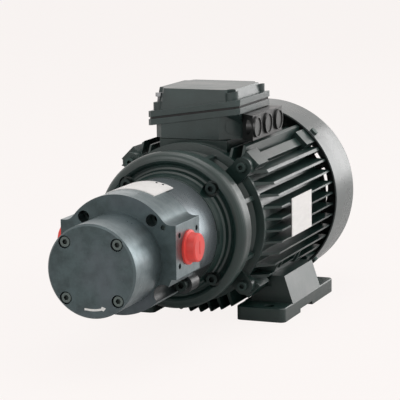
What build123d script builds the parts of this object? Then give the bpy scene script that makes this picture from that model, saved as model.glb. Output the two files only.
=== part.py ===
from build123d import *
import math
import os

# Close-coupled internal gear pump and foot-mounted electric motor, frame size 90.
# Millimetres. Machine axis along Y, pump at -Y, fan at +Y, feet on Z = 0, +Z up.

# ---- driving dimensions ----
AX = 90.0              # height of the motor axis above the foot plane
Y_COVER = -219.0       # front face of the pump cover
Y_BODY = -165.0        # joint between the cover and the gear housing
Y_SEAM = -113.0        # joint between the gear housing and the bearing housing
Y_HUB = -65.0          # joint between the bearing housing and the adapter
Y_FACE = -44.0         # motor flange face
Y_SHELL = -4.0         # front end of the finned motor frame
Y_RIM = 156.0          # rear end of the motor frame, front rim of the fan cowl
Y_REAR = 219.0         # rear face of the fan cowl
COVER_R = 39.3
COVER_DROP = 3.5       # the cover is centred this far below the shaft
COVER_SCREW = 23.25    # half side of the square of cover screws
BODY_R = 51.4
PAD_X = 52.5           # port pad face
PAD_Z0, PAD_Z1 = AX - 18.0, AX + 27.5
PORT_Y, PORT_Z = -138.0, AX + 5.0
PORTS = {"right": (1, 11.5, 19.0, 13.0), "left": (-1, 13.5, 20.0, 15.0)}  # side, bore, half bolt spacings
BARREL_R = 49.8
GROOVE_X, GROOVE_Z, GROOVE_R = 40.5, AX - 31.5, 8.5   # open pockets of the two lower housing screws
GROOVE_END = -121.0
FLANGE_R = 70.0
FLANGE_BOLT = 57.5     # radius of the flange bolt circle
TIE = 54.2             # half side of the square of endshield bolts
FRAME_RI, FRAME_RO, FIN_R = 67.5, 72.0, 86.5
COWL_R, COWL_T = 89.5, 1.5
FOOT_X0, FOOT_X1, FOOT_Y0, FOOT_Y1 = 41.0, 88.0, 3.0, 148.0
FOOT_HOLE_X, FOOT_HOLE_Y = 70.0, (12.0, 137.0)

# ---- gear set ----
MOD, Z_PINION, Z_RING = 1.5, 17, 23
GEAR_E = MOD * (Z_RING - Z_PINION) / 2      # 4.5: the ring gear turns this far below the shaft
RING_Z = AX - GEAR_E
GEAR_Y0, GEAR_Y1 = -153.0, -123.0
RING_R = 24.0

os.makedirs("parts", exist_ok=True)


def box(x0, x1, y0, y1, z0, z1):
    return Pos((x0 + x1) / 2, (y0 + y1) / 2, (z0 + z1) / 2) * Box(x1 - x0, y1 - y0, z1 - z0)


def ycyl(r, y0, y1, x=0.0, z=AX):
    return Pos(x, (y0 + y1) / 2, z) * Rot(90, 0, 0) * Cylinder(r, y1 - y0)


def xcyl(r, x0, x1, y, z):
    return Pos((x0 + x1) / 2, y, z) * Rot(0, 90, 0) * Cylinder(r, x1 - x0)


def zcyl(r, z0, z1, x, y):
    return Pos(x, y, (z0 + z1) / 2) * Cylinder(r, z1 - z0)


def yring(ro, ri, y0, y1, x=0.0, z=AX):
    return ycyl(ro, y0, y1, x, z) - ycyl(ri, y0 - 1, y1 + 1, x, z)


def turned(points, x=0.0, z=AX):
    """Revolve (radius, y) points about a line parallel to Y."""
    return Pos(x, 0, z) * revolve(make_face(Polyline(*points, close=True)), Axis.Y)


def plate(points, y0, y1, x=0.0, z=AX):
    """Extrude an (x, z) outline from y0 to y1."""
    face = make_face(Polyline(*points, close=True))
    return Pos(x, y1, z) * Rot(90, 0, 0) * extrude(face, y1 - y0)


def around(shape, count, start=0.0, x=0.0, z=AX):
    """Copies of a shape turned about the axis through (x, z)."""
    base = Pos(-x, 0, -z) * shape
    return [Pos(x, 0, z) * Rot(0, start + i * 360.0 / count, 0) * base for i in range(count)]


def fuse(shapes):
    out = shapes[0]
    return out.fuse(*shapes[1:]) if len(shapes) > 1 else out


def hexagon(across, y0, y1, x, z):
    r = across / math.sqrt(3)
    pts = [(r * math.cos(math.radians(60 * i)), r * math.sin(math.radians(60 * i))) for i in range(6)]
    return plate(pts, y0, y1, x, z)


def cap_screw(d, head_r, head_h, length, x, z, y_head):
    """Socket head screw along +Y whose head bears at y_head."""
    s = ycyl(head_r, y_head - head_h, y_head, x, z) + ycyl(d / 2, y_head - 0.01, y_head + length, x, z)
    return s - hexagon(head_r * 0.95, y_head - head_h - 1, y_head - head_h * 0.45, x, z)


def save(name, shape):
    if isinstance(shape, (list, tuple)):
        solids = []
        for s in shape:
            solids += s.solids()
        shape = Compound(children=solids) if len(solids) > 1 else solids[0]
    export_step(shape, "parts/" + name + ".step")


def involute(rb, r):
    t = math.sqrt(max((r / rb) ** 2 - 1, 0.0))
    return t - math.atan(t)


def gear_outline(z, tip, root, half_gap, internal, phase=0.0):
    """Points of an involute outline; phase 0 centres a tooth on +z, 0.5 a tooth space."""
    press = math.radians(22.0)
    rp = MOD * z / 2
    rb = rp * math.cos(press)
    half = math.pi / (2 * z) - half_gap / rp
    pts = []
    for k in range(z):
        mid = math.pi / 2 + 2 * math.pi * (k + phase) / z
        flank = []
        lo, hi = (max(root, rb), tip) if not internal else (tip, root)
        for i in range(5):
            r = lo + (hi - lo) * i / 4
            turn = involute(rb, rp) - involute(rb, max(r, rb))
            a = half + turn if not internal else half - turn
            flank.append((r, a))
        if not internal and rb > root:
            flank.insert(0, (root, flank[0][1]))
        if internal:
            flank = flank[::-1]
        for r, a in flank:
            pts.append((r * math.cos(mid - a), r * math.sin(mid - a)))
        for r, a in flank[::-1]:
            pts.append((r * math.cos(mid + a), r * math.sin(mid + a)))
    return pts


CORNERS = [(1, 1), (1, -1), (-1, 1), (-1, -1)]

# ================= pump =================
cover_z = AX - COVER_DROP
cover = turned([(0, Y_COVER), (COVER_R - 1.6, Y_COVER), (COVER_R, Y_COVER + 1.6), (COVER_R, Y_BODY),
                (0, Y_BODY)], 0, cover_z)
cover -= ycyl(11.0, -192.0, Y_BODY + 1)
cover -= yring(29.5, 26.9, Y_BODY - 2.0, Y_BODY + 1, 0, cover_z)
screw_xz = [(sx * COVER_SCREW, cover_z + sz * COVER_SCREW) for sx, sz in CORNERS]
for x, z in screw_xz:
    cover -= ycyl(5.4, Y_COVER - 1, Y_COVER + 6, x, z)
    cover -= ycyl(2.75, Y_COVER, Y_BODY + 1, x, z)
save("pump_cover", cover)
save("cover_screws", [cap_screw(5, 4.25, 5, 60, x, z, Y_COVER + 6) for x, z in screw_xz])
save("cover_seal_ring", yring(29.4, 27.0, Y_BODY - 1.9, Y_BODY, 0, cover_z))

section = Circle(BODY_R) + Pos(0, (PAD_Z0 + PAD_Z1) / 2 - AX) * Rectangle(2 * PAD_X, PAD_Z1 - PAD_Z0)
upper = [v for v in section.vertices() if abs(abs(v.X) - 43.9) < 1.5 and v.Y > 20]
section = fillet(upper, 10.0)
body = Pos(0, Y_SEAM, AX) * Rot(90, 0, 0) * extrude(section, Y_SEAM - Y_BODY)
body += [ycyl(8.0, GROOVE_END - 1, Y_SEAM, sx * GROOVE_X, GROOVE_Z) for sx in (1, -1)]
body -= [ycyl(GROOVE_R, Y_BODY - 1, GROOVE_END, sx * GROOVE_X, GROOVE_Z) for sx in (1, -1)]
for x, z in screw_xz:
    body -= ycyl(2.5, Y_BODY - 1, Y_COVER + 6 + 62, x, z)
HOUSE = 31.0
upper_xz = [(sx * HOUSE, AX + HOUSE) for sx in (1, -1)]
lower_xz = [(sx * GROOVE_X, GROOVE_Z) for sx in (1, -1)]
for x, z in upper_xz:
    body -= ycyl(5.2, Y_BODY - 1, Y_BODY + 18, x, z)
for x, z in upper_xz + lower_xz:
    body -= ycyl(3.1, Y_BODY, Y_SEAM + 1, x, z)
body -= ycyl(2.2, Y_BODY - 1, Y_BODY + 10, 41.1, AX + 25.4)
body -= ycyl(RING_R + 0.05, GEAR_Y0, Y_SEAM + 1, 0, RING_Z)
body -= ycyl(11.0, Y_BODY - 1, GEAR_Y0 + 1)
pocket = yring(RING_R + 3.0, RING_R - 1, GEAR_Y0 + 4, GEAR_Y1 - 4, 0, RING_Z)
body -= pocket & box(-40, 40, -200, 0, RING_Z - 11, RING_Z + 17)
for sx, bore, half_y, half_z in PORTS.values():
    body -= xcyl(8.0, *sorted((sx * 20.0, sx * 60.0)), PORT_Y, PORT_Z)
    body -= xcyl(bore, *sorted((sx * 40.0, sx * 60.0)), PORT_Y, PORT_Z)
    for dy in (-half_y, half_y):
        for dz in (-half_z, half_z):
            body -= xcyl(2.5, *sorted((sx * 38.5, sx * 60.0)), PORT_Y + dy, PORT_Z + dz)
save("gear_housing", body)
save("housing_screws", [cap_screw(6, 5.0, 6, 44, x, z, Y_BODY + 18) for x, z in upper_xz]
     + [cap_screw(6, 5.0, 6, 16, x, z, GROOVE_END) for x, z in lower_xz])
save("locating_pin", ycyl(2.2, Y_BODY + 5, Y_BODY + 10, 41.1, AX + 25.4))

bearing_house = ycyl(BARREL_R, Y_SEAM, Y_HUB)
bearing_house -= ycyl(11.0, Y_SEAM - 1, -97.0)
bearing_house -= ycyl(16.0, -98.0, -90.0)
bearing_house -= ycyl(31.0, -91.0, Y_HUB + 1)
bearing_house = fuse([bearing_house] + [ycyl(8.0, Y_SEAM, Y_SEAM + 9, x, z) for x, z in lower_xz])
for x, z in upper_xz + lower_xz:
    bearing_house -= ycyl(3.0, Y_SEAM - 1, Y_SEAM + 17, x, z)
HUB_PITCH = 41.0
hub_xz = [(HUB_PITCH * math.cos(math.radians(a)), AX + HUB_PITCH * math.sin(math.radians(a)))
          for a in (0, 90, 180, 270)]
for x, z in hub_xz:
    bearing_house -= ycyl(3.0, Y_HUB - 16, Y_HUB + 1, x, z)
save("bearing_housing", bearing_house)

side_plate = ycyl(RING_R, GEAR_Y1 + 0.05, Y_SEAM, 0, RING_Z) - ycyl(11.0, GEAR_Y1 - 1, Y_SEAM + 1)
save("side_plate", side_plate)
save("front_bush", yring(11.0, 8.5, -190.0, GEAR_Y0 - 0.1))
save("rear_bush", yring(11.0, 8.5, GEAR_Y1 + 0.1, -98.0))
save("shaft_seal", turned([(8.55, -97.9), (16.0, -97.9), (16.0, -91.0), (13.5, -91.0), (13.5, -95.9),
                           (10.0, -95.9), (9.2, -92.0), (8.55, -92.0)]))

# gear set: the pinion drives a loose ring gear round a fixed crescent
pinion_tip, pinion_root = MOD * Z_PINION / 2 + 1.05, MOD * Z_PINION / 2 - 1.75
ring_tip, ring_root = MOD * Z_RING / 2 - 1.05, MOD * Z_RING / 2 + 1.75
pinion = plate(gear_outline(Z_PINION, pinion_tip, pinion_root, 0.09, False), GEAR_Y0 + 0.1, GEAR_Y1 - 0.1)
pinion += ycyl(8.45, -189.0, -74.5)
save("pinion_shaft", pinion)
hollow = plate(gear_outline(Z_RING, ring_tip, ring_root, 0.09, True, 0.5), GEAR_Y0 - 1, GEAR_Y1 + 1, 0, RING_Z)
ring = ycyl(RING_R, GEAR_Y0 + 0.1, GEAR_Y1 - 0.1, 0, RING_Z) - hollow
drill = Pos(0, PORT_Y, RING_Z + 21.0) * Cylinder(1.1, 8.0)
ring = ring - around(drill, Z_RING, 0.0, 0, RING_Z)
save("ring_gear", ring)
crescent = ycyl(ring_tip - 0.12, GEAR_Y0, GEAR_Y1 - 0.05, 0, RING_Z)
crescent -= ycyl(pinion_tip + 0.12, GEAR_Y0 - 1, GEAR_Y1 + 1)
crescent = crescent & box(-12.5, 12.5, -160, -120, RING_Z - 20, RING_Z - 4.0)
save("crescent", crescent)

PLUG_DEPTH = 9.6       # length of the plug's stem inside the port
for side, (sx, bore, half_y, half_z) in PORTS.items():
    stem = bore - 0.3
    plug = turned([(0, 3.0), (stem - 2.0, 3.0), (stem - 2.0, 0), (stem, 0), (stem, PLUG_DEPTH),
                   (bore + 3.3, PLUG_DEPTH), (bore + 3.3, PLUG_DEPTH + 1.8), (bore + 1.0, PLUG_DEPTH + 2.6),
                   (bore + 0.6, PLUG_DEPTH + 9.4), (bore - 0.5, PLUG_DEPTH + 10.4), (0, PLUG_DEPTH + 10.4)], 0, 0)
    plug -= box(-0.6, 0.6, PLUG_DEPTH + 9.0, PLUG_DEPTH + 12.0, -5.5, 5.5)
    turn = Rot(0, 0, -90 * sx)
    save("port_plug_" + side, Pos(sx * (PAD_X - PLUG_DEPTH), PORT_Y, PORT_Z) * turn * plug)

band = yring(BODY_R + 0.8, BODY_R, -138.0, -96.0)
label = band & box(-22.0, 22.0, -140.0, -90.0, AX + 30, AX + 60)
save("pump_label_plate", label)

# adapter between the pump and the motor flange
rim_arc = [(63.5 + 7.7 * math.cos(math.radians(a)), -46.5 - 7.5 * math.sin(math.radians(a)))
           for a in (0, 15, 30, 45, 60, 75, 90)]
adapter = turned([(47.6, Y_FACE), (71.2, Y_FACE)] + rim_arc +
                 [(61.5, -53.0), (59.6, -50.6), (57.4, -50.0), (55.6, -50.9), (54.8, -53.0), (54.6, -55.4),
                  (53.0, -57.0), (51.4, -62.5), (50.9, Y_HUB), (36.0, Y_HUB), (36.0, -60.0), (40.0, -56.0),
                  (40.0, -47.1), (47.6, -47.1)])
BOLT_SEAT = -50.2      # bottom of the pockets round the flange bolts
flange_xz = [(FLANGE_BOLT * math.cos(math.radians(a)), AX + FLANGE_BOLT * math.sin(math.radians(a)))
             for a in (45, 135, 225, 315)]
adapter -= [ycyl(3.3, -70, -40, x, z) for x, z in flange_xz]
adapter -= [ycyl(7.2, -70, BOLT_SEAT, x, z) for x, z in flange_xz]
adapter -= [ycyl(5.6, -58.0, -40, x, z) for x, z in hub_xz]
adapter -= [ycyl(3.2, -70, -40, x, z) for x, z in hub_xz]
adapter -= box(49.9, 60, -66, -62.2, AX - 6.5, AX + 5.5)
save("adapter", adapter)
save("adapter_bolts", [cap_screw(6, 5.0, 6, 15, x, z, BOLT_SEAT) for x, z in flange_xz])
hub_bolts = []
for x, z in hub_xz:
    b = ycyl(5.0, -58.0, -52.0, x, z) + ycyl(3.0, -78.0, -57.9, x, z)
    hub_bolts.append(b - hexagon(5.0, -55.0, -51.0, x, z))
save("hub_screws", hub_bolts)


def jaws(y0, y1, start):
    """Three coupling claws standing on the face of a hub."""
    claw = yring(23.8, 12.3, y0, y1) & box(-4.5, 4.5, y0 - 1, y1 + 1, AX, AX + 30)
    return around(claw, 3, start)


hub_p = fuse([yring(24.0, 8.45, -90.0, -76.0)] + jaws(-80.0, -66.0, 0))
hub_m = fuse([yring(24.0, 12.0, -64.0, -48.0)] + jaws(-74.0, -60.0, 60))
hub_m -= box(-4.0, 4.0, -65.0, -47.0, AX + 10.0, AX + 15.2)
save("coupling_hub_pump", hub_p)
save("coupling_hub_motor", hub_m)
spider = yring(23.8, 10.5, -74.0, -66.0)
spider = spider - jaws(-80, -60, 0) - jaws(-80, -60, 60)
spider = spider + yring(11.0, 9.2, -74.0, -66.0)
save("coupling_spider", spider)

# ================= motor =================
front_shield = turned([(26.0, -14.0), (20.0, -14.0), (20.0, -44.0), (36.0, -44.0), (36.0, -47.0), (47.5, -47.0),
                       (47.5, Y_FACE), (FLANGE_R, Y_FACE), (FLANGE_R, -32.0), (57.0, -32.0), (55.0, -29.0),
                       (57.0, -14.0), (66.0, -9.0), (73.7, -8.0), (73.7, Y_SHELL), (67.4, Y_SHELL),
                       (67.4, 4.0), (62.0, 4.0), (62.0, -2.0), (50.0, -9.0), (33.0, -9.0), (33.0, 3.0),
                       (26.0, 3.0)])
tie_xz = [(sx * TIE, AX + sz * TIE) for sx, sz in CORNERS]
lugs = []
for sx, sz in CORNERS:
    lugs.append(ycyl(8.5, -12.0, Y_SHELL, sx * TIE, AX + sz * TIE))
    arm = Pos(sx * TIE * 0.87, -8.0, AX + sz * TIE * 0.87) * Rot(0, 45, 0) * Box(17.0, 8.0, 17.0)
    lugs.append(arm)
rib = box(-2.1, 2.1, -33.0, -8.8, AX + 51.0, AX + 68.6)
front_shield = fuse([front_shield] + lugs + around(rib, 8, 22.5))
front_shield -= [ycyl(2.6, -20, 10, x, z) for x, z in tie_xz]
front_shield -= [ycyl(3.0, -50, -34.0, x, z) for x, z in flange_xz]
save("front_endshield", front_shield)
save("front_endshield_bolts", [cap_screw(5, 4.25, 4.6, 22, x, z, -12.0) for x, z in tie_xz])

# finned frame
tube = ycyl(FRAME_RO, Y_SHELL, Y_RIM)
FIN_ROOT, FIN_TIP = 3.4, 1.5      # fin thickness at the tube and at the outer edge
SIDE_Z = [5.7 + 10.7 * k for k in range(-5, 5)]
PAD_Y = (18.0, 30.0, 68.0, 81.0)  # webs of the side foot pads, between the two lowest side fins


def fin(reach, y0=Y_SHELL, y1=Y_RIM):
    """A tapered fin pointing along +X from the axis."""
    a, b = FIN_ROOT / 2, FIN_TIP / 2
    return plate([(45.0, -a), (62.0, -a), (reach, -b), (reach, b), (62.0, a), (45.0, a)], y0, y1, 0, 0)


fins = []
top, bottom = AX + SIDE_Z[1], AX + SIDE_Z[0]
for sx, turn in ((1, 0), (-1, 180)):
    for z in SIDE_Z[1:]:
        fins.append(Pos(0, 0, AX + z) * Rot(0, turn, 0) * fin(85.5))
    for y0, y1 in ((Y_SHELL, PAD_Y[0] + 1), (PAD_Y[3] - 1, Y_RIM)):
        fins.append(Pos(0, 0, bottom) * Rot(0, turn, 0) * fin(85.5, y0, y1))
    for y, z in zip(PAD_Y, (bottom, top - 6.5, top - 6.5, bottom)):
        fins.append(box(*sorted((sx * 60.0, sx * 85.5)), y - 1.0, y + 1.0, z, top))
    fins.append(box(*sorted((sx * 60.0, sx * 85.5)), PAD_Y[1], PAD_Y[2], top - 7.5, top - 6.0))
for k in range(-4, 4):
    x = 5.15 + 10.3 * k
    fins.append(Pos(x, 0, AX) * Rot(0, 90, 0) * fin(90.0))
for sx in (1, -1):
    fins.append(box(*sorted((sx * 48.8, sx * 51.2)), Y_SHELL, Y_RIM, AX + 45.0, AX + 71.5))
    fins.append(box(*sorted((sx * 39.0, sx * 41.0)), Y_SHELL, Y_RIM, AX + 50.0, AX + 69.0))
envelope = turned([(50.0, Y_SHELL), (FRAME_RO + 1.0, Y_SHELL), (FIN_R, 7.0), (FIN_R, Y_RIM), (50.0, Y_RIM)])
frame = fuse([tube] + [f & envelope for f in fins])
bosses = []
for sx, sz in CORNERS:
    for y0, y1, wide, out in ((Y_SHELL, 22.0, 16.5, 61.5), (20.0, 134.0, 9.0, 58.5), (132.0, Y_RIM, 16.5, 61.5)):
        b = Pos(0, (y0 + y1) / 2, 0) * Box(wide, y1 - y0, out * math.sqrt(2) - 64.0)
        b = Rot(0, 45 if sx * sz > 0 else -45, 0) * Pos(0, 0, sz * (out * math.sqrt(2) + 64.0) / 2) * b
        bosses.append(Pos(0, 0, AX) * b)
seat = box(-33.0, 33.0, 6.0, 91.0, AX + 60.0, AX + 74.5)
foot_pads = [box(*sorted((sx * 47.0, sx * 66.0)), 30.0, 112.0, AX - 62.0, AX - 40.0) for sx in (1, -1)]
frame = fuse([frame] + bosses + [seat] + foot_pads)
frame -= ycyl(FRAME_RI, Y_SHELL - 1, Y_RIM + 1)
frame -= box(-22.0, 22.0, 18.0, 79.0, AX + 50.0, AX + 80.0)
frame -= [ycyl(2.5, Y_SHELL - 1, 20.0, x, z) for x, z in tie_xz]
frame -= [ycyl(2.5, Y_RIM - 22.0, Y_RIM + 1, x, z) for x, z in tie_xz]
frame -= [zcyl(3.0, 20.0, 45.0, sx * 56.0, y) for sx in (1, -1) for y in (45.0, 90.0)]
BOX_BOLTS = [(sx * 21.0, y) for sx in (1, -1) for y in (14.0, 83.0)]
frame -= [zcyl(2.5, AX + 64.0, AX + 76.0, x, y) for x, y in BOX_BOLTS]
save("motor_frame", frame)

stator = yring(FRAME_RI, 41.5, 28.0, 108.0)
slot = box(-2.4, 2.4, 27.0, 109.0, AX + 43.5, AX + 56.0) + box(-1.0, 1.0, 27.0, 109.0, AX + 40.0, AX + 44.0)
stator = stator - around(slot, 24, 0.0)
save("stator_core", stator)
save("stator_windings", [turned([(43.8, 12.0), (57.0, 12.0), (60.0, 16.0), (58.0, 27.9), (43.8, 27.9)]),
                         turned([(43.8, 124.0), (57.0, 124.0), (60.0, 120.0), (58.0, 108.1), (43.8, 108.1)])])
core = yring(41.0, 15.0, 28.0, 108.0)
groove = box(-1.2, 1.2, 27.0, 109.0, AX + 34.0, AX + 42.0)
save("rotor_core", core - around(groove, 28, 0.0))
save("rotor_end_rings", [yring(39.0, 27.0, 20.0, 28.0), yring(39.0, 27.0, 108.0, 116.0)])
shaft = turned([(0, -63.0), (12.0, -63.0), (12.0, -14.0), (12.5, -14.0), (12.5, 4.0), (15.0, 4.0), (15.0, 128.0),
                (12.5, 128.0), (12.5, 147.0), (10.0, 147.0), (10.0, 188.0), (0, 188.0)])
keyway = box(-4.0, 4.0, -62.0, -50.0, AX + 8.0, AX + 13.0)
shaft -= keyway
save("motor_shaft", shaft)
save("shaft_key", box(-4.0, 4.0, -62.0, -50.0, AX + 8.0, AX + 15.0))

inner, outer, balls = [], [], []
for y0 in (-12.0, 130.0):
    race_i = turned([(12.5, y0), (16.6, y0), (16.6, y0 + 4.6), (15.4, y0 + 6.0), (15.4, y0 + 9.0),
                     (16.6, y0 + 10.4), (16.6, y0 + 15.0), (12.5, y0 + 15.0)])
    race_o = turned([(26.0, y0), (22.2, y0), (22.2, y0 + 4.6), (23.4, y0 + 6.0), (23.4, y0 + 9.0),
                     (22.2, y0 + 10.4), (22.2, y0 + 15.0), (26.0, y0 + 15.0)])
    inner.append(race_i)
    outer.append(race_o)
    ball = Pos(0, y0 + 7.5, AX + 19.4) * Sphere(3.8)
    balls += around(ball, 9, 0.0)
save("bearing_inner_rings", inner)
save("bearing_outer_rings", outer)
save("bearing_balls", balls)

rear_shield = turned([(26.0, 129.0), (33.0, 129.0), (33.0, 142.0), (62.0, 148.0), (62.0, 150.0), (67.4, 150.0),
                      (67.4, Y_RIM), (73.0, Y_RIM), (73.0, 160.0), (50.0, 160.0), (33.0, 152.0), (14.0, 152.0),
                      (14.0, 146.0), (26.0, 146.0)])
rear_lugs = []
for sx, sz in CORNERS:
    rear_lugs.append(ycyl(8.5, Y_RIM, 162.0, sx * TIE, AX + sz * TIE))
    rear_lugs.append(Pos(sx * 47.0, 158.0, AX + sz * 47.0) * Rot(0, 45, 0) * Box(17.0, 4.0, 17.0))
rear_shield = fuse([rear_shield] + rear_lugs)
rear_shield -= [ycyl(2.6, 140, 170, x, z) for x, z in tie_xz]
cowl_lugs = []
for a in (45, 135, 225, 315):
    lug = Rot(0, -a, 0) * box(82.0, COWL_R - 2.0, 157.0, 169.0, -6.0, 6.0)
    cowl_lugs.append(Pos(0, 0, AX) * lug)
rear_shield = fuse([rear_shield] + cowl_lugs)
rear_shield -= [Pos(0, 0, AX) * Rot(0, -a, 0) * xcyl(2.0, 80.0, 95.0, 163.0, 0.0) for a in (45, 135, 225, 315)]
save("rear_endshield", rear_shield)
rear_bolts = [ycyl(4.25, 162.0, 166.6, x, z) + ycyl(2.5, 138.0, 162.01, x, z) for x, z in tie_xz]
save("rear_endshield_bolts", rear_bolts)

blade = box(-1.0, 1.0, 171.0, 192.0, AX + 18.0, AX + 74.0)
fan = fuse([yring(18.0, 10.0, 166.5, 188.0), yring(74.0, 17.0, 169.0, 171.0)] + around(blade, 8, 10.0))
save("cooling_fan", fan)

GUARD_R = COWL_R - 8.2
cowl = turned([(COWL_R, Y_RIM), (COWL_R, Y_REAR - 9.0), (COWL_R - 1.2, Y_REAR - 4.5), (COWL_R - 4.0, Y_REAR - 1.3),
               (GUARD_R, Y_REAR), (GUARD_R, Y_REAR - COWL_T), (COWL_R - 5.0, Y_REAR - 2.6),
               (COWL_R - 2.7, Y_REAR - 5.2), (COWL_R - COWL_T, Y_REAR - 9.0), (COWL_R - COWL_T, Y_RIM)])
guard = ycyl(GUARD_R, Y_REAR - COWL_T, Y_REAR)
spokes = fuse(around(box(-3.0, 3.0, Y_REAR - 5, Y_REAR + 5, AX, AX + 100), 8, 22.5))
for r in range(16, 60, 8):
    guard -= yring(r + 4.5, r, Y_REAR - 4, Y_REAR + 2) - spokes
save("fan_guard", guard)
cowl -= [Pos(0, 0, AX) * Rot(0, -a, 0) * xcyl(2.1, 85.0, 95.0, 163.0, 0.0) for a in (45, 135, 225, 315)]
save("fan_cowl", cowl)
cowl_screws = []
for a in (45, 135, 225, 315):
    s = xcyl(3.8, COWL_R, COWL_R + 2.4, 163.0, 0.0) + xcyl(2.0, 82.0, COWL_R + 0.01, 163.0, 0.0)
    cowl_screws.append(Pos(0, 0, AX) * Rot(0, -a, 0) * s)
save("cowl_screws", cowl_screws)

# ---- feet ----
foot_bolts = []
for name, sx in (("foot_right", 1), ("foot_left", -1)):
    prof = [(FOOT_X0, 0), (FOOT_X1, 0), (FOOT_X1, 12.0), (79.5, 38.0), (66.2, 38.0), (66.2, 28.0),
            (47.0, 28.0), (47.0, 14.0), (FOOT_X0, 13.0)]
    wall = plate([(sx * x, z) for x, z in prof], 28.0, 108.0, 0, 0)
    base = box(*sorted((sx * FOOT_X0, sx * FOOT_X1)), FOOT_Y0, FOOT_Y1, 0, 13)
    base = fillet(base.edges().filter_by(Axis.Z), 5.0)
    base = chamfer(base.faces().sort_by(Axis.Z)[-1].edges(), 0.8)
    foot = wall + base
    foot -= box(*sorted((sx * 30.0, sx * 95.0)), 49.0, 84.0, -1.0, 3.5)
    foot -= box(*sorted((sx * 30.0, sx * 61.0)), 38.0, 98.0, -1.0, 9.0)
    foot -= Pos(sx * 53.0, 75.0, AX - 53.0) * Rot(0, 45, 0) * Box(16.0, 200.0, 18.0)
    for y in FOOT_HOLE_Y:
        foot -= zcyl(5.0, -1, 20, sx * FOOT_HOLE_X, y)
    for y in (45.0, 90.0):
        foot -= zcyl(3.2, -1, 60, sx * 56.0, y)
        foot_bolts.append(zcyl(5.0, 3.0, 9.0, sx * 56.0, y) + zcyl(3.0, 8.9, 44.0, sx * 56.0, y))
    save(name, foot)
save("foot_bolts", foot_bolts)

save("nameplate", box(85.5, 86.2, 32.0, 88.0, AX - 15.5, AX + 20.0))

# ---- terminal box ----
BX, BY0, BY1, BZ = 43.0, 6.0, 91.0, AX + 75.0


def tilt(x):
    """Height of the sloping joint between the box and its lid."""
    return AX + 101.0 + 0.145 * x


def outline(hx, y0, y1, cut):
    return [(-hx + cut, y0), (hx - cut, y0), (hx, y0 + cut), (hx, y1 - cut), (hx - cut, y1), (-hx + cut, y1),
            (-hx, y1 - cut), (-hx, y0 + cut)]


def prism(points, z0, z1):
    return Pos(0, 0, z0) * extrude(make_face(Polyline(*points, close=True)), z1 - z0)


def wedge(z_low, z_high, gap_low, gap_high):
    """Region between two heights, each either level or parallel to the sloping joint."""
    x = 80.0
    lo = (z_low, z_low) if gap_low is None else (tilt(-x) + gap_low, tilt(x) + gap_low)
    hi = (z_high, z_high) if gap_high is None else (tilt(-x) + gap_high, tilt(x) + gap_high)
    pts = [(-x, lo[0]), (x, lo[1]), (x, hi[1]), (-x, hi[0])]
    return plate(pts, -40, 140, 0, 0)


def tetrahedron(corners):
    sides = [corners[:i] + corners[i + 1:] for i in range(4)]
    return Solid(Shell([make_face(Polyline(*side, close=True)) for side in sides]))


# the right front corner of the box is cut back further than the others
BOX_XY = [(-31.4, BY0), (25.4, BY0), (BX, BY0 + 17.6), (BX, BY1 - 12.0), (BX - 12.0, BY1), (-31.4, BY1),
          (-39.4, BY1 - 8.0), (-39.4, BY0 + 8.0)]
base = prism(BOX_XY, BZ, BZ + 60) & wedge(BZ, 0, None, -3.0)
ear = prism(outline(BX + 2, BY0 - 1.0, BY1 + 1.0, 4.0), BZ, BZ + 60) & wedge(0, 0, -8.6, -3.0)
web = tetrahedron([(x, y, tilt(x) - 5.0) for x, y in ((26.0, BY0), (BX, BY0), (BX, BY0 + 17.0))]
                  + [(BX, BY0 + 17.0, AX + 87.0)])
solid_box = fuse([base, ear, web])
hollow = offset(make_face(Polyline(*BOX_XY, close=True)), -3.5, kind=Kind.INTERSECTION)
base = solid_box - Pos(0, 0, BZ + 4) * extrude(hollow, 60)
base -= box(-20.0, 20.0, 20.0, 77.0, BZ - 1, BZ + 6)
ENTRY_Y, ENTRY_Z = (18.0, 47.0, 76.0), AX + 86.8
base -= [xcyl(8.0, 30.0, 60.0, y, ENTRY_Z) for y in ENTRY_Y]
base -= [zcyl(2.6, BZ - 1, BZ + 8, x, y) for x, y in BOX_BOLTS]
entry = prism([(BX, 20.0), (57.0, 9.0), (57.0, 88.0), (BX, 88.0)], AX + 75.0, AX + 98.0)
entry -= [xcyl(8.0, 30.0, 60.0, y, ENTRY_Z) for y in ENTRY_Y]
save("cable_entry_block", entry)
LID_XY = [(sx * 36.0, y) for sx in (1, -1) for y in (13.5, 83.5)]
posts = [(zcyl(4.5, BZ + 2, BZ + 60, x, y) & wedge(0, 0, -9.0, -3.0) & solid_box) for x, y in LID_XY]
base = fuse([base] + posts)
base -= [zcyl(1.6, tilt(x) - 7.0, BZ + 60, x, y) for x, y in LID_XY]
save("terminal_box", base)
save("terminal_box_bolts", [zcyl(4.0, BZ + 4, BZ + 7, x, y) + zcyl(2.5, BZ - 10, BZ + 4.01, x, y)
                            for x, y in BOX_BOLTS])
gasket = prism(outline(BX + 1, BY0, BY1, 4.0), BZ, BZ + 60) & wedge(0, 0, -3.0, -1.0)
gasket -= prism(outline(35.5, BY0 + 8.0, BY1 - 8.0, 4.0), BZ, BZ + 60)
gasket -= [zcyl(2.2, BZ, BZ + 60, x, y) for x, y in LID_XY]
save("box_gasket", gasket)
LID_TOP = AX + 120.5
lid_faces = [Pos(0, 0, AX + 88.0) * make_face(Polyline(*outline(43.0, 7.5, 89.5, 8.0), close=True)),
             Pos(0, 0, LID_TOP) * make_face(Polyline(*outline(37.2, 9.5, 87.5, 8.0), close=True))]
lid = loft(lid_faces, ruled=True) & wedge(0, LID_TOP + 1.0, -1.0, None)
skirt = prism(outline(BX + 2, BY0 - 1.0, BY1 + 1.0, 4.0), BZ, BZ + 60) & wedge(0, 0, -1.0, 4.5)
lid = fuse([lid, skirt])
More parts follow.
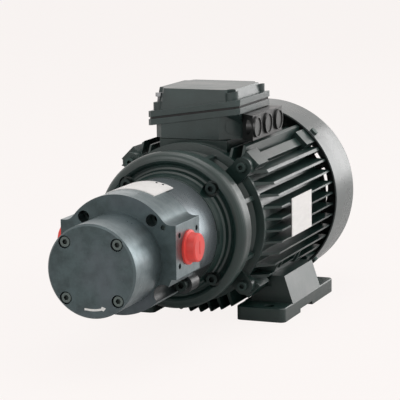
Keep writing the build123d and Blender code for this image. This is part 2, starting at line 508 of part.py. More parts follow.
inside = prism(outline(34.5, 12.0, 85.0, 6.0), BZ, LID_TOP - 2.5) & wedge(0, LID_TOP - 2.5, -2.0, None)
lid -= inside
lid_posts = [(zcyl(5.5, BZ, LID_TOP, x, y) & wedge(0, 0, -1.0, 12.0)) for x, y in LID_XY]
lid = fuse([lid] + lid_posts)
lid -= [zcyl(4.6, LID_TOP - 8, LID_TOP + 1, x, y) for x, y in LID_XY]
lid -= [zcyl(1.9, BZ, LID_TOP + 1, x, y) for x, y in LID_XY]
save("terminal_box_lid", lid)
save("lid_screws", [zcyl(3.4, LID_TOP - 8, LID_TOP - 4.6, x, y) + zcyl(1.6, tilt(x) - 6.5, LID_TOP - 7.9, x, y)
                    for x, y in LID_XY])
entry_plugs = [xcyl(8.0, 50.0, 57.01, y, ENTRY_Z) + xcyl(9.6, 57.0, 59.2, y, ENTRY_Z)
               - xcyl(8.4, 58.2, 61.0, y, ENTRY_Z) for y in ENTRY_Y]
save("cable_entry_plugs", entry_plugs)
board = box(-20.0, 20.0, 26.0, 70.0, BZ + 4.0, BZ + 10.0)
stud_xy = [(x, y) for x in (-12.0, 0.0, 12.0) for y in (38.0, 58.0)]
board -= [zcyl(2.0, BZ + 3, BZ + 12, x, y) for x, y in stud_xy]
save("terminal_board", board)
save("terminal_studs", [zcyl(2.0, BZ + 4.0, BZ + 22.0, x, y) for x, y in stud_xy])
nuts = []
for x, y in stud_xy:
    nuts.append(Pos(x, y, BZ + 12.0) * (extrude(RegularPolygon(4.0, 6), 3.2) - Pos(0, 0, 1) * Cylinder(2.0, 9)))
save("terminal_nuts", nuts)
link = [box(x - 4.0, x + 4.0, 33.0, 63.0, BZ + 10.0, BZ + 11.2) - zcyl(2.0, BZ, BZ + 20, x, 38.0)
        - zcyl(2.0, BZ, BZ + 20, x, 58.0) for x in (-12.0, 0.0, 12.0)]
save("terminal_links", link)
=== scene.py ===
import math

import bmesh
import bpy
from mathutils import Matrix, Vector


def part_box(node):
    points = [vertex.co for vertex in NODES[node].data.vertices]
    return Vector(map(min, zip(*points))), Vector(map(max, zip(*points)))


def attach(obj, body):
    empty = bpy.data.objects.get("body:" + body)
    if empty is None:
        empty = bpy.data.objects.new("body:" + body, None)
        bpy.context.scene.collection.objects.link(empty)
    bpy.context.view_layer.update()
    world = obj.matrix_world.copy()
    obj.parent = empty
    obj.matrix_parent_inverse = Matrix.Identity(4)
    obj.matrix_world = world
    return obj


bl_info = {
    "name": "Motor Gear Pump Unit",
    "version": (1, 0, 0),
    "blender": (4, 5, 0),
    "location": "View3D > Sidebar > Pump Unit",
    "description": "Finishes, small fittings, floor and light for a foot-mounted motor gear pump unit",
    "category": "Object",
}

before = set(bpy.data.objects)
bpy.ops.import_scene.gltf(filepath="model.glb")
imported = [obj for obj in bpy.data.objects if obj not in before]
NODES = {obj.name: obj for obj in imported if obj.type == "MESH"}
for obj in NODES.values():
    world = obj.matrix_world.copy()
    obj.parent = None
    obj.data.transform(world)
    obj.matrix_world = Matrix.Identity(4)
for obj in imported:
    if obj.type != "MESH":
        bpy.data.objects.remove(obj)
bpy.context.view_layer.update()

# places on the unit, in metres
AXIS_Z = 0.090                      # height of the shaft axis
SEAM_Y = -0.113                     # joint line between the gear housing and the barrel
POCKET_X = 0.0405                   # axes of the open pockets in which the lower housing screws stand,
POCKET_Z = AXIS_Z - 0.0315          # one on each side
POCKET_SHADE_RADIUS = 0.0088              # radius of the painted shade in the pockets, a little over the pockets' own, to take in their walls
PIN_RING = 0.0522                   # distance of the label pins from the shaft axis
ENTRY_Y, ENTRY_Z = 0.018, AXIS_Z + 0.0868       # axis of the front cable entry
ENTRY_RADIUS = 0.008                # of its bore
BOX_SIDE_X = 0.043                  # right wall of the terminal box, where the entry block begins
BOX_CORNER = Vector((0.0254, 0.006, AXIS_Z + 0.075))    # on the face of the box's cut-back corner
BOX_CORNER_OUT = Vector((1.0, -1.0, 0.0)).normalized()
BOX_WALL = 0.0035                   # thickness of the wall at the cut-back corner
WEB_TIP = Vector((0.026, 0.006, AXIS_Z + 0.09977))      # tip of the web under the lid, outside that corner
WEB_UP = Vector((-43.4, 259.0, 299.2)).normalized()     # square to the web's slanted underside
BLOCK_END = Vector((BOX_SIDE_X, 0.020, AXIS_Z + 0.075))  # on the slanted end of the entry block
BLOCK_END_OUT = Vector((-11.0, -14.0, 0.0)).normalized()

PAPER = (0.982, 0.939, 0.922, 1.0)  # the background as the camera sees it
GROUND_STEEL = (0.62, 0.63, 0.65)
RUBBER = (0.012, 0.012, 0.012)

SOFTBOXES = (
    # name, place, point aimed at, width, height, watts
    ("right wall", (1.7, 0.5, 1.1), (0.0, 0.0, 0.1), 1.6, 1.6, 15.0),
    ("rear right panel", (1.0, 2.2, 0.45), (0.05, 0.0, 0.08), 1.5, 1.0, 12.0),
    ("top panel", (0.1, 0.2, 1.9), (0.0, 0.0, 0.1), 1.4, 1.4, 12.0),
    ("front fill", (-0.6, -2.2, 1.2), (0.0, -0.1, 0.1), 1.2, 1.2, 12.0),
)


# ---------------------------------------------------------------- settings

class UnitColours(bpy.types.PropertyGroup):
    paint: bpy.props.FloatVectorProperty(
        name="Motor paint", description="Dark green-black paint of the motor castings",
        subtype="COLOR", size=3, min=0.0, max=1.0, default=(0.006, 0.021, 0.018))
    box: bpy.props.FloatVectorProperty(
        name="Terminal box paint", description="Paint of the terminal box and its lid",
        subtype="COLOR", size=3, min=0.0, max=1.0, default=(0.030, 0.050, 0.048))
    # The cowl's default colour is far lighter than the motor's dark paint: part paint, part painted sheen
    # standing in for its bright reflection of the lights at the right and behind.
    cowl: bpy.props.FloatVectorProperty(
        name="Cowl paint", description="Paint of the pressed fan cowl",
        subtype="COLOR", size=3, min=0.0, max=1.0, default=(0.085, 0.100, 0.100))
    housing: bpy.props.FloatVectorProperty(
        name="Pump iron", description="Phosphated iron of the pump cover and housing face",
        subtype="COLOR", size=3, min=0.0, max=1.0, default=(0.062, 0.088, 0.092))
    bright: bpy.props.FloatVectorProperty(
        name="Turned iron", description="Bright turned surfaces of the pump barrel",
        subtype="COLOR", size=3, min=0.0, max=1.0, default=(0.30, 0.345, 0.37))
    plug: bpy.props.FloatVectorProperty(
        name="Transport plug", description="Red plastic of the port plugs",
        subtype="COLOR", size=3, min=0.0, max=1.0, default=(0.80, 0.060, 0.048))
    label: bpy.props.FloatVectorProperty(
        name="Label", description="Bare label plates",
        subtype="COLOR", size=3, min=0.0, max=1.0, default=(0.90, 0.885, 0.865))


class UnitSizes(bpy.types.PropertyGroup):
    arrow_radius: bpy.props.FloatProperty(
        name="Arrow radius", description="Distance of the direction arrow from the shaft axis",
        unit="LENGTH", min=0.01, max=0.036, default=0.0354)
    arrow_width: bpy.props.FloatProperty(
        name="Arrow width", description="Width of the direction arrow's stroke",
        unit="LENGTH", min=0.0005, max=0.004, default=0.0018)
    floor_size: bpy.props.FloatProperty(
        name="Floor size", description="Width of the square floor", unit="LENGTH",
        min=1.0, max=40.0, default=30.0)


# ---------------------------------------------------------------- material bench

class Tree:
    """A shader node tree, emptied, with short ways to add and join its nodes."""

    def __init__(self, tree):
        self.tree = tree
        self.tree.nodes.clear()

    def join(self, source, target):
        self.tree.links.new(source, target)

    def node(self, kind, **settings):
        node = self.tree.nodes.new("ShaderNode" + kind)
        for key, value in settings.items():
            setattr(node, key, value)
        return node

    def feed(self, socket, value):
        """Join another node's output to the socket, or set the socket to a plain value."""
        if isinstance(value, bpy.types.NodeSocket):
            self.join(value, socket)
        else:
            socket.default_value = value

    def calc(self, how, *values):
        node = self.node("Math", operation=how)
        for socket, value in zip(node.inputs, values):
            self.feed(socket, value)
        return node.outputs[0]

    def spread(self, value, low, high, to_low=0.0, to_high=1.0):
        """The value's stretch from low to high, laid over to_low to to_high and held at its ends."""
        node = self.node("MapRange")
        limits = {"From Min": low, "From Max": high, "To Min": to_low, "To Max": to_high}
        for key, limit in limits.items():
            node.inputs[key].default_value = limit
        self.join(value, node.inputs["Value"])
        return node.outputs["Result"]


class Bench(Tree):
    """A new material with one main shader, whose patterns read Object coordinates."""

    def __init__(self, name):
        self.material = bpy.data.materials.new(name)
        self.material.use_nodes = True
        super().__init__(self.material.node_tree)
        self.out = self.node("OutputMaterial")
        self.shader = self.node("BsdfPrincipled")
        self.join(self.shader.outputs[0], self.out.inputs["Surface"])
        self.place = self.node("TexCoord").outputs["Object"]

    def set(self, **values):
        """Set the shader's own sockets: coat_weight is Coat Weight, ior is IOR."""
        for key, value in values.items():
            self.shader.inputs[key.replace("_", " ").title().replace("Ior", "IOR")].default_value = value

    def colour(self, value):
        self.join(value, self.shader.inputs["Base Color"])

    def rough(self, value):
        self.join(value, self.shader.inputs["Roughness"])

    def metal(self, value):
        self.join(value, self.shader.inputs["Metallic"])

    def stretched(self, scale):
        node = self.node("Mapping")
        node.inputs["Scale"].default_value = scale
        self.join(self.place, node.inputs["Vector"])
        return node.outputs[0]

    def noise(self, scale, detail=4.0, rough=0.55, at=None):
        node = self.node("TexNoise")
        node.inputs["Scale"].default_value = scale
        node.inputs["Detail"].default_value = detail
        node.inputs["Roughness"].default_value = rough
        self.join(at or self.place, node.inputs["Vector"])
        return node.outputs["Fac"]

    def lathe_rings(self, fineness):
        """Fine rings as a lathe leaves them, which change along the shaft only."""
        return self.noise(1.0, detail=3.0, rough=0.6, at=self.stretched((8.0, fineness, 8.0)))

    def split(self, vector, which):
        node = self.node("SeparateXYZ")
        self.join(vector, node.inputs[0])
        return node.outputs[which]

    def axis(self, which):
        """One Object coordinate: 0 is x, 1 is y along the shaft, 2 is z."""
        return self.split(self.place, which)

    def facing(self, which):
        """One component of the surface normal, for finishes that change between ends and sides."""
        return self.split(self.node("NewGeometry").outputs["True Normal"], which)

    def worn(self):
        """1 on outer edges, where handling rubs the surface."""
        return self.spread(self.node("NewGeometry").outputs["Pointiness"], 0.51, 0.58)

    def pockets(self):
        """1 in the pockets of the lower housing screws, which run along the shaft on both sides: the mask for
        the shade painted into them.
        """
        across = self.calc("SUBTRACT", self.calc("ABSOLUTE", self.axis(0)), POCKET_X)
        upward = self.calc("SUBTRACT", self.axis(2), POCKET_Z)
        squares = [self.calc("MULTIPLY", way, way) for way in (across, upward)]
        away = self.calc("SQRT", self.calc("ADD", *squares))
        softness = 0.0002
        return self.spread(away, POCKET_SHADE_RADIUS - softness, POCKET_SHADE_RADIUS + softness, 1.0, 0.0)

    def seam(self):
        """1 on the thin joint line that goes round the housings."""
        away = self.calc("ABSOLUTE", self.calc("SUBTRACT", self.axis(1), SEAM_Y))
        return self.spread(away, 0.0002, 0.0005, 1.0, 0.0)

    def blend(self, factor, first, second):
        node = self.node("Mix", data_type="RGBA")
        self.join(factor, node.inputs[0])
        for socket, value in zip((node.inputs[6], node.inputs[7]), (first, second)):
            self.feed(socket, value if isinstance(value, bpy.types.NodeSocket) else (*value[:3], 1.0))
        return node.outputs[2]

    def mottle(self, pattern, low, high, colour, dark, light):
        """The colour, shaded from dark to light where the pattern goes from low to high."""
        return self.blend(self.spread(pattern, low, high), shade(colour, dark), shade(colour, light))

    def bump(self, height, distance, strength, round_edges=0.0):
        node = self.node("Bump")
        node.inputs["Distance"].default_value = distance
        node.inputs["Strength"].default_value = strength
        self.join(height, node.inputs["Height"])
        if round_edges:
            bevel = self.node("Bevel", samples=4)
            bevel.inputs["Radius"].default_value = round_edges
            self.join(bevel.outputs[0], node.inputs["Normal"])
        self.join(node.outputs[0], self.shader.inputs["Normal"])


def shade(colour, factor):
    return tuple(min(1.0, v * factor) for v in colour)


def cast_paint(name, colour, rough=0.38, grain=900.0, depth=0.00012):
    """Satin paint over a sand casting."""
    bench = Bench(name)
    patch = bench.noise(28.0, detail=5.0)
    speck = bench.noise(grain, detail=3.0)
    tone = bench.mottle(patch, 0.35, 0.65, colour, 0.82, 1.25)
    bench.colour(bench.blend(bench.spread(speck, 0.62, 0.80), tone, shade(colour, 1.9)))
    bench.rough(bench.spread(patch, 0.3, 0.7, rough - 0.06, rough + 0.08))
    relief = bench.calc("ADD", speck, bench.calc("MULTIPLY", patch, 2.0))
    bench.bump(relief, depth, strength=0.6, round_edges=0.0006)
    bench.set(ior=1.5, coat_weight=0.25, coat_roughness=0.2)
    return bench.material


def sheet_paint(name, colour, rough):
    """Smooth paint on pressed sheet."""
    bench = Bench(name)
    patch = bench.noise(40.0)
    peel = bench.noise(1500.0, detail=2.0)
    bench.colour(bench.mottle(patch, 0.3, 0.7, colour, 0.88, 1.12))
    bench.rough(bench.spread(patch, 0.3, 0.7, rough - 0.05, rough + 0.06))
    bench.bump(peel, 0.00004, strength=0.5, round_edges=0.0005)
    bench.set(ior=1.55)
    return bench.material


def phosphated(name, colour, side):
    """Dark phosphated iron, clouded and finely grained, with sides turned bright round the shaft axis."""
    bench = Bench(name)
    cloud = bench.noise(90.0, detail=6.0, rough=0.65)
    wide = bench.noise(22.0, detail=3.0)
    grain = bench.noise(2600.0, detail=2.0)
    bluish = (0.13, 0.14, 0.165)
    face = bench.mottle(cloud, 0.36, 0.64, colour, 0.78, 1.22)
    face = bench.blend(bench.spread(wide, 0.45, 0.7, 0.0, 0.45), face, bluish)
    face = bench.blend(bench.spread(grain, 0.55, 0.75, 0.0, 0.5), face, shade(colour, 1.7))
    rim = bench.mottle(bench.lathe_rings(4200.0), 0.3, 0.7, side, 0.82, 1.15)
    rim = bench.blend(bench.spread(cloud, 0.4, 0.75, 0.0, 0.5), rim, colour)
    end_face = bench.spread(bench.calc("ABSOLUTE", bench.facing(1)), 0.55, 0.75)
    # painted shade: the screws' pockets are darkened to a fifth of the iron's colour and lose their metal
    # look; the seam line is darkened with them as a dark joint
    pocket_shade_and_seam = bench.calc("MAXIMUM", bench.pockets(), bench.seam())
    bench.colour(bench.blend(pocket_shade_and_seam, bench.blend(end_face, rim, face), shade(colour, 0.2)))
    clouded = bench.spread(cloud, 0.3, 0.7, 0.27, 0.40)
    bench.rough(bench.calc("ADD", clouded, bench.calc("MULTIPLY", end_face, 0.08)))
    bench.bump(grain, 0.00005, strength=0.7, round_edges=0.0005)
    metal = bench.spread(end_face, 0.0, 1.0, 0.92, 0.5)
    bench.metal(bench.calc("MULTIPLY", metal, bench.calc("SUBTRACT", 1.0, pocket_shade_and_seam)))
    return bench.material


def turned(name, colour, rough=0.30, metallic=0.9, paint_pocket_shade=False):
    """Metal turned about the shaft axis; the pocket option paints shade, near black and without metal look,
    into the screws' pockets and darkens the seam line.
    """
    bench = Bench(name)
    rings = bench.lathe_rings(5200.0)
    cloud = bench.noise(45.0, detail=5.0)
    tone = bench.mottle(rings, 0.3, 0.7, colour, 0.86, 1.10)
    tone = bench.blend(bench.spread(cloud, 0.35, 0.7, 0.0, 0.35), tone, shade(colour, 0.7))
    bench.rough(bench.spread(rings, 0.3, 0.7, rough - 0.06, rough + 0.08))
    bench.bump(rings, 0.00002, strength=0.5, round_edges=0.0004)
    if paint_pocket_shade:
        # painted shade in the screws' pockets, near black, together with the dark seam line
        pocket_shade_and_seam = bench.calc("MAXIMUM", bench.pockets(), bench.seam())
        bench.colour(bench.blend(pocket_shade_and_seam, tone, shade(colour, 0.05)))
        bench.metal(bench.spread(pocket_shade_and_seam, 0.0, 1.0, metallic, 0.0))
    else:
        bench.colour(tone)
        bench.set(metallic=metallic)
    return bench.material


def screw_steel(name, colour=(0.16, 0.165, 0.17), rough=0.34):
    """Blackened steel, rubbed brighter on its edges."""
    bench = Bench(name)
    cloud = bench.noise(700.0, detail=3.0)
    tone = bench.mottle(cloud, 0.35, 0.65, colour, 0.75, 1.2)
    bench.colour(bench.blend(bench.worn(), tone, shade(colour, 2.6)))
    bench.rough(bench.spread(cloud, 0.3, 0.7, rough - 0.08, rough + 0.1))
    bench.bump(cloud, 0.00003, strength=0.5, round_edges=0.0003)
    bench.set(metallic=0.85)
    return bench.material


def moulded(name, colour, rough):
    """Moulded plastic or rubber with faint flow marks."""
    bench = Bench(name)
    flow = bench.noise(60.0, detail=3.0, rough=0.5, at=bench.stretched((1.0, 3.0, 1.0)))
    fine = bench.noise(1800.0, detail=2.0)
    bench.colour(bench.mottle(flow, 0.3, 0.7, colour, 0.88, 1.12))
    bench.rough(bench.spread(flow, 0.3, 0.7, rough - 0.04, rough + 0.06))
    bench.bump(fine, 0.00003, strength=0.4, round_edges=0.0004)
    return bench.material


def label_film(name, colour):
    """Satin label stock with a faint weave of fibres and handling marks."""
    bench = Bench(name)
    fine = bench.noise(900.0, detail=3.0)
    smear = bench.noise(60.0, rough=0.6, at=bench.stretched((1.0, 1.0, 4.0)))
    tone = bench.mottle(smear, 0.35, 0.7, colour, 0.93, 1.0)
    bench.colour(bench.blend(bench.spread(fine, 0.5, 0.8, 0.0, 0.3), tone, shade(colour, 0.85)))
    bench.rough(bench.spread(smear, 0.3, 0.7, 0.36, 0.5))
    bench.bump(fine, 0.00002, strength=0.4)
    return bench.material


def marking_paint():
    """White paint of a stencilled marking, worn a little grey."""
    bench = Bench("white marking paint")
    wear = bench.spread(bench.noise(900.0), 0.35, 0.7)
    bench.colour(bench.blend(wear, (0.86, 0.86, 0.84), (0.74, 0.75, 0.74)))
    bench.bump(bench.noise(3000.0), 0.00002, strength=0.4)
    bench.set(roughness=0.5)
    return bench.material


def floor_paper():
    """Matt paper that glows where the camera sees it, so that the floor runs into the background."""
    glow_share = 0.93
    bench = Bench("floor paper")
    bench.colour(bench.blend(bench.noise(3.0), (0.86, 0.84, 0.83), (0.90, 0.88, 0.87)))
    bench.set(roughness=0.9)
    glow = bench.node("Emission")
    glow.inputs["Color"].default_value = PAPER
    path = bench.node("LightPath")
    seen = bench.calc("MAXIMUM", path.outputs["Is Camera Ray"], path.outputs["Is Transmission Ray"])
    mix = bench.node("MixShader")
    bench.join(bench.calc("MULTIPLY", seen, glow_share), mix.inputs[0])
    bench.join(bench.shader.outputs[0], mix.inputs[1])
    bench.join(glow.outputs[0], mix.inputs[2])
    bench.join(mix.outputs[0], bench.out.inputs["Surface"])
    return bench.material


def dress(material, *names):
    """Give the named nodes this material and no other."""
    for name in names:
        mesh = NODES[name].data
        mesh.materials.clear()
        mesh.materials.append(material)


# ---------------------------------------------------------------- operators: finishes

class UNIT_OT_finish_pump(bpy.types.Operator):
    """Gives the pump's castings, barrel, gears and screws their finishes"""
    bl_idname = "unit.finish_pump"
    bl_label = "Finish Pump"

    def execute(self, context):
        colours = context.scene.unit_colours
        # Both pump iron finishes paint shade into the pockets of the lower housing screws.
        iron = phosphated("phosphated iron", colours.housing, side=(0.23, 0.28, 0.295))
        dress(iron, "pump_cover", "gear_housing")
        dress(turned("turned iron", colours.bright, paint_pocket_shade=True), "bearing_housing")
        steel = screw_steel("blackened screws", (0.045, 0.055, 0.052), rough=0.42)
        dress(steel, "cover_screws", "locating_pin")
        black = screw_steel("black flange screws", (0.012, 0.017, 0.016), rough=0.4)
        dress(black, "housing_screws", "hub_screws", "adapter_bolts")
        ground = turned("ground steel", GROUND_STEEL, rough=0.22, metallic=1.0)
        dress(ground, "pinion_shaft", "ring_gear", "crescent", "coupling_hub_pump", "coupling_hub_motor")
        bronze = turned("bearing bronze", (0.55, 0.33, 0.12), metallic=1.0)
        dress(bronze, "side_plate", "front_bush", "rear_bush")
        rubber = moulded("black rubber", RUBBER, rough=0.55)
        dress(rubber, "cover_seal_ring", "shaft_seal", "coupling_spider")
        plug = moulded("red plug plastic", colours.plug, rough=0.45)
        dress(plug, "port_plug_right", "port_plug_left")
        dress(label_film("pump label film", colours.label), "pump_label_plate")
        return {"FINISHED"}


class UNIT_OT_finish_motor(bpy.types.Operator):
    """Gives the motor's castings, cowl, feet and inner pieces their finishes"""
    bl_idname = "unit.finish_motor"
    bl_label = "Finish Motor"

    def execute(self, context):
        colours = context.scene.unit_colours
        paint = cast_paint("motor paint", colours.paint)
        dress(paint, "adapter", "front_endshield", "motor_frame", "rear_endshield", "foot_right", "foot_left")
        # the cowl and guard colour carries painted sheen on top of the paint
        dress(sheet_paint("cowl paint with painted sheen", colours.cowl, rough=0.28), "fan_cowl", "fan_guard")
        steel = screw_steel("motor screws", (0.02, 0.03, 0.028), rough=0.42)
        dress(steel, "front_endshield_bolts", "rear_endshield_bolts", "cowl_screws", "foot_bolts")
        core = turned("core plates", (0.35, 0.36, 0.38), rough=0.4, metallic=1.0)
        dress(core, "stator_core", "rotor_core")
        copper = turned("varnished copper", (0.55, 0.22, 0.08), rough=0.35, metallic=0.8)
        dress(copper, "stator_windings")
        aluminium = turned("die-cast rings", (0.75, 0.76, 0.78), rough=0.4, metallic=1.0)
        dress(aluminium, "rotor_end_rings")
        ground = turned("shaft steel", GROUND_STEEL, rough=0.22, metallic=1.0)
        dress(ground, "motor_shaft", "shaft_key", "bearing_inner_rings", "bearing_outer_rings",
              "bearing_balls")
        dress(moulded("fan plastic", (0.015, 0.016, 0.016), rough=0.45), "cooling_fan")
        dress(label_film("nameplate film", colours.label), "nameplate")
        return {"FINISHED"}


class UNIT_OT_finish_box(bpy.types.Operator):
    """Gives the terminal box and what is in it their finishes"""
    bl_idname = "unit.finish_box"
    bl_label = "Finish Terminal Box"

    def execute(self, context):
        colours = context.scene.unit_colours
        paint = cast_paint("box paint", colours.box, rough=0.36, grain=1400.0, depth=0.00006)
        dress(paint, "terminal_box", "terminal_box_lid")
        dress(moulded("box gasket rubber", RUBBER, rough=0.6), "box_gasket")
        dress(screw_steel("box screws"), "lid_screws", "terminal_box_bolts")
        entry = moulded("entry plug plastic", (0.012, 0.013, 0.013), rough=0.34)
        dress(entry, "cable_entry_plugs", "cable_entry_block")
        dress(moulded("board plastic", (0.03, 0.02, 0.015), rough=0.5), "terminal_board")
        brass = turned("terminal brass", (0.70, 0.50, 0.18), rough=0.25, metallic=1.0)
        dress(brass, "terminal_studs", "terminal_nuts", "terminal_links")
        return {"FINISHED"}


# ---------------------------------------------------------------- operators: small fittings

def edit(piece, mode="FACE"):
    """Open one mesh in edit mode with nothing selected."""
    bpy.ops.object.select_all(action="DESELECT")
    piece.select_set(True)
    bpy.context.view_layer.objects.active = piece
    bpy.ops.object.mode_set(mode="EDIT")
    bpy.ops.mesh.select_mode(type=mode)
    bpy.ops.mesh.select_all(action="DESELECT")
    return bmesh.from_edit_mesh(piece.data)


def close(piece, name, slot, material, *modifiers):
    """Leave edit mode, apply the modifiers and the place, name the piece and hang it on the unit."""
    bpy.ops.object.mode_set(mode="OBJECT")
    for kind, settings in modifiers:
        modifier = piece.modifiers.new(kind.lower(), kind)
        for key, value in settings.items():
            setattr(modifier, key, value)
        bpy.ops.object.modifier_apply(modifier=modifier.name)
    bpy.ops.object.transform_apply(location=True, rotation=True, scale=True)
    piece.name = piece.data.name = name
    piece.data.materials.clear()
    piece.data.materials.append(material)
    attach(piece, "unit")


class UNIT_OT_arrow(bpy.types.Operator):
    """Adds the white direction arrow on the face of the pump cover"""
    bl_idname = "unit.arrow"
    bl_label = "Add Direction Arrow"

    def execute(self, context):
        sizes = context.scene.unit_sizes
        radius, width = sizes.arrow_radius, sizes.arrow_width
        start, sweep = math.radians(-99.0), math.radians(22.0)
        end = start + sweep
        head_width, head_length = 2.3, 1.6      # as multiples of the stroke's width
        paint_thickness = 0.0002
        centre = Vector((0.0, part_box("pump_cover")[0][1], AXIS_Z))
        tail = centre + radius * Vector((math.cos(start), 0.0, math.sin(start)))
        neck = centre + radius * Vector((math.cos(end), 0.0, math.sin(end)))
        ahead = Vector((-math.sin(end), 0.0, math.cos(end)))
        bpy.ops.object.select_all(action="DESELECT")
        bpy.ops.mesh.primitive_plane_add(size=width, location=tail, rotation=(math.pi / 2, 0.0, 0.0))
        arrow = context.object
        bpy.ops.object.transform_apply(location=True, rotation=True)
        mesh = edit(arrow, "EDGE")
        for edge in mesh.edges:
            edge.select_set(all(v.co.x > tail.x for v in edge.verts))
        bmesh.update_edit_mesh(arrow.data)
        bpy.ops.mesh.spin(steps=12, angle=sweep, center=centre, axis=(0.0, 1.0, 0.0))
        bpy.ops.mesh.extrude_edges_move()
        bpy.ops.transform.resize(value=(head_width,) * 3, center_override=neck)
        bpy.ops.mesh.extrude_edges_move(TRANSFORM_OT_translate={"value": ahead * width * head_length})
        bpy.ops.mesh.merge(type="CENTER")
        bpy.ops.mesh.select_all(action="SELECT")
        bpy.ops.mesh.remove_doubles(threshold=1e-6)
        bpy.ops.mesh.normals_make_consistent(inside=False)
        close(arrow, "direction_arrow", "plate_aluminium", marking_paint(),
              ("SOLIDIFY", {"thickness": paint_thickness, "offset": 0.0}))
        return {"FINISHED"}


class UNIT_OT_label_pins(bpy.types.Operator):
    """Adds the two small drive pins that hold the rear edge of the pump label"""
    bl_idname = "unit.label_pins"
    bl_label = "Add Label Pins"

    def execute(self, context):
        radius, height = 0.0009, 0.0012
        inset = 0.0045                          # from the rear edge of the label
        pin_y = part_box("pump_label_plate")[1][1] - inset
        steel = screw_steel("label pin steel", (0.02, 0.024, 0.024), rough=0.4)
        for number, pin_x in enumerate((0.0085, 0.0145), start=1):
            angle = math.acos(pin_x / PIN_RING)
            place = (pin_x, pin_y, AXIS_Z + PIN_RING * math.sin(angle))
            bpy.ops.object.select_all(action="DESELECT")
            bpy.ops.mesh.primitive_cylinder_add(vertices=20, radius=radius, depth=height, location=place,
                                                rotation=(0.0, math.pi / 2 - angle, 0.0))
            close(context.object, f"label_pin_{number}", "screw_steel", steel,
                  ("BEVEL", {"width": 0.0003, "segments": 3, "limit_method": "ANGLE"}))
        return {"FINISHED"}


class UNIT_OT_box_corner(bpy.types.Operator):
    """Closes the terminal box corner and the entry block where the front entry's bore comes through them"""
    bl_idname = "unit.box_corner"
    bl_label = "Close Box Corner"

    def execute(self, context):
        lap = 0.00002                           # how far a filling reaches into the wall round the bore
        box_x = (0.02695, 0.04295)              # from within the corner's wall to just short of the side face
        block_x = (BOX_SIDE_X, 0.04995)         # up to the shank of the entry plug
        inner_corner = BOX_CORNER - BOX_CORNER_OUT * BOX_WALL
        fillings = (
            # name, slot, filled node, x from and to, planes that cut it as (point, direction cut away)
            ("box_corner_wall", "motor_paint", "terminal_box", box_x,
             ((BOX_CORNER, BOX_CORNER_OUT), (inner_corner, -BOX_CORNER_OUT))),
            ("box_corner_web", "motor_paint", "terminal_box", box_x,
             ((BOX_CORNER, -BOX_CORNER_OUT), (WEB_TIP, -WEB_UP))),
            ("entry_block_wall", "black_plastic", "cable_entry_block", block_x,
             ((BLOCK_END, BLOCK_END_OUT),)),
        )
        for name, slot, node, (x0, x1), planes in fillings:
            bpy.ops.object.select_all(action="DESELECT")
            bpy.ops.mesh.primitive_cylinder_add(vertices=48, radius=ENTRY_RADIUS + lap, depth=x1 - x0,
                                                location=((x0 + x1) / 2, ENTRY_Y, ENTRY_Z),
                                                rotation=(0.0, math.pi / 2, 0.0))
            piece = context.object
            bpy.ops.object.transform_apply(location=True, rotation=True)
            edit(piece)
            for point, away in planes:
                bpy.ops.mesh.select_all(action="SELECT")
                bpy.ops.mesh.bisect(plane_co=point, plane_no=away, use_fill=True, clear_outer=True)
            close(piece, name, slot, NODES[node].data.materials[0])
        return {"FINISHED"}


# ---------------------------------------------------------------- operators: stage

def add_floor(scene):
    """A square of paper, a hair below the feet."""
    gap = 0.0002
    bpy.ops.object.select_all(action="DESELECT")
    bpy.ops.mesh.primitive_plane_add(size=scene.unit_sizes.floor_size, location=(0.0, 0.0, -gap))
    floor = bpy.context.object
    floor.name = "floor"
    bpy.ops.object.transform_apply(location=True)
    floor.data.materials.append(floor_paper())


def light_world(scene):
    """A background at full strength where it is seen or mirrored, and dimmer where it only gives light."""
    dimmed, full = 0.32, 1.0
    scene.world = scene.world or bpy.data.worlds.new("studio")
    scene.world.use_nodes = True
    sky = Tree(scene.world.node_tree)
    background = sky.node("Background")
    background.inputs["Color"].default_value = PAPER
    path = sky.node("LightPath")
    seen = sky.calc("MAXIMUM", path.outputs["Is Camera Ray"], path.outputs["Is Glossy Ray"])
    seen = sky.calc("MAXIMUM", seen, path.outputs["Is Transmission Ray"])
    sky.join(sky.spread(seen, 0.0, 1.0, dimmed, full), background.inputs["Strength"])
    sky.join(background.outputs[0], sky.node("OutputWorld").inputs["Surface"])


def add_softbox(scene, name, place, aim, width, height, watts):
    lamp = bpy.data.lights.new(name, "AREA")
    lamp.shape = "RECTANGLE"
    lamp.size, lamp.size_y = width, height
    lamp.energy = watts
    softbox = bpy.data.objects.new(name, lamp)
    scene.collection.objects.link(softbox)
    softbox.location = place
    softbox.rotation_euler = (Vector(aim) - Vector(place)).to_track_quat("-Z", "Y").to_euler()


def look(place, azimuth, elevation, roll):
    """The camera's matrix: azimuth is right of the front, elevation above level, roll about the view."""
    azimuth, elevation, roll = (math.radians(angle) for angle in (azimuth, elevation, roll))
    ahead = Vector((-math.sin(azimuth) * math.cos(elevation), math.cos(azimuth) * math.cos(elevation),
                    -math.sin(elevation)))
    level = Vector((math.cos(azimuth), math.sin(azimuth), 0.0))
    upright = level.cross(ahead)
    right = level * math.cos(roll) + upright * math.sin(roll)
    top = upright * math.cos(roll) - level * math.sin(roll)
    matrix = Matrix((right, top, -ahead)).transposed().to_4x4()
    matrix.translation = place
    return matrix


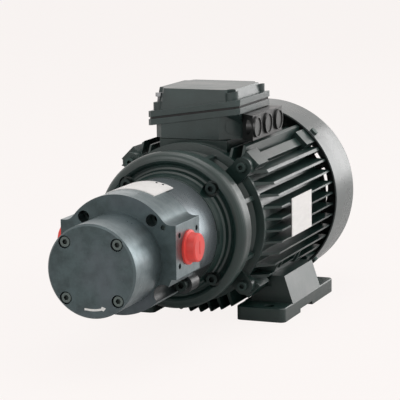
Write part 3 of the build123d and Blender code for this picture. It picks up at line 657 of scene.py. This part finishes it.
def add_camera(scene):
    camera = bpy.data.cameras.new("camera")
    camera.sensor_width = 36.0
    camera.lens = 168.96
    camera.shift_x, camera.shift_y = -0.0025, 0.00125
    camera.clip_start, camera.clip_end = 0.05, 50.0
    eye = bpy.data.objects.new("camera", camera)
    scene.collection.objects.link(eye)
    eye.matrix_world = look((0.6364, -1.5678, 0.3983), azimuth=21.8, elevation=9.7, roll=-0.8)
    scene.camera = eye


class UNIT_OT_stage(bpy.types.Operator):
    """Adds the pale floor, the soft light, the background and the camera"""
    bl_idname = "unit.stage"
    bl_label = "Set Stage"

    def execute(self, context):
        scene = context.scene
        scene.view_settings.view_transform = "Standard"
        add_floor(scene)
        light_world(scene)
        for settings in SOFTBOXES:
            add_softbox(scene, *settings)
        add_camera(scene)
        return {"FINISHED"}


class UNIT_PT_panel(bpy.types.Panel):
    """Lists the finishes, fittings and stage of the pump unit"""
    bl_idname = "UNIT_PT_panel"
    bl_label = "Motor Gear Pump Unit"
    bl_space_type = "VIEW_3D"
    bl_region_type = "UI"
    bl_category = "Pump Unit"

    def draw(self, context):
        for group in (context.scene.unit_colours, context.scene.unit_sizes):
            for key in group.__annotations__:
                self.layout.prop(group, key)
        for operator in OPERATORS:
            self.layout.operator(operator.bl_idname)


OPERATORS = (UNIT_OT_finish_pump, UNIT_OT_finish_motor, UNIT_OT_finish_box, UNIT_OT_arrow, UNIT_OT_label_pins,
             UNIT_OT_box_corner, UNIT_OT_stage)
CLASSES = (UnitColours, UnitSizes, *OPERATORS, UNIT_PT_panel)


def register():
    for cls in CLASSES:
        bpy.utils.register_class(cls)
    bpy.types.Scene.unit_colours = bpy.props.PointerProperty(type=UnitColours)
    bpy.types.Scene.unit_sizes = bpy.props.PointerProperty(type=UnitSizes)


def unregister():
    del bpy.types.Scene.unit_sizes
    del bpy.types.Scene.unit_colours
    for cls in reversed(CLASSES):
        bpy.utils.unregister_class(cls)


def main():
    register()
    for operator in OPERATORS:
        group, name = operator.bl_idname.split(".")
        getattr(getattr(bpy.ops, group), name)()


if __name__ == "__main__":
    main()
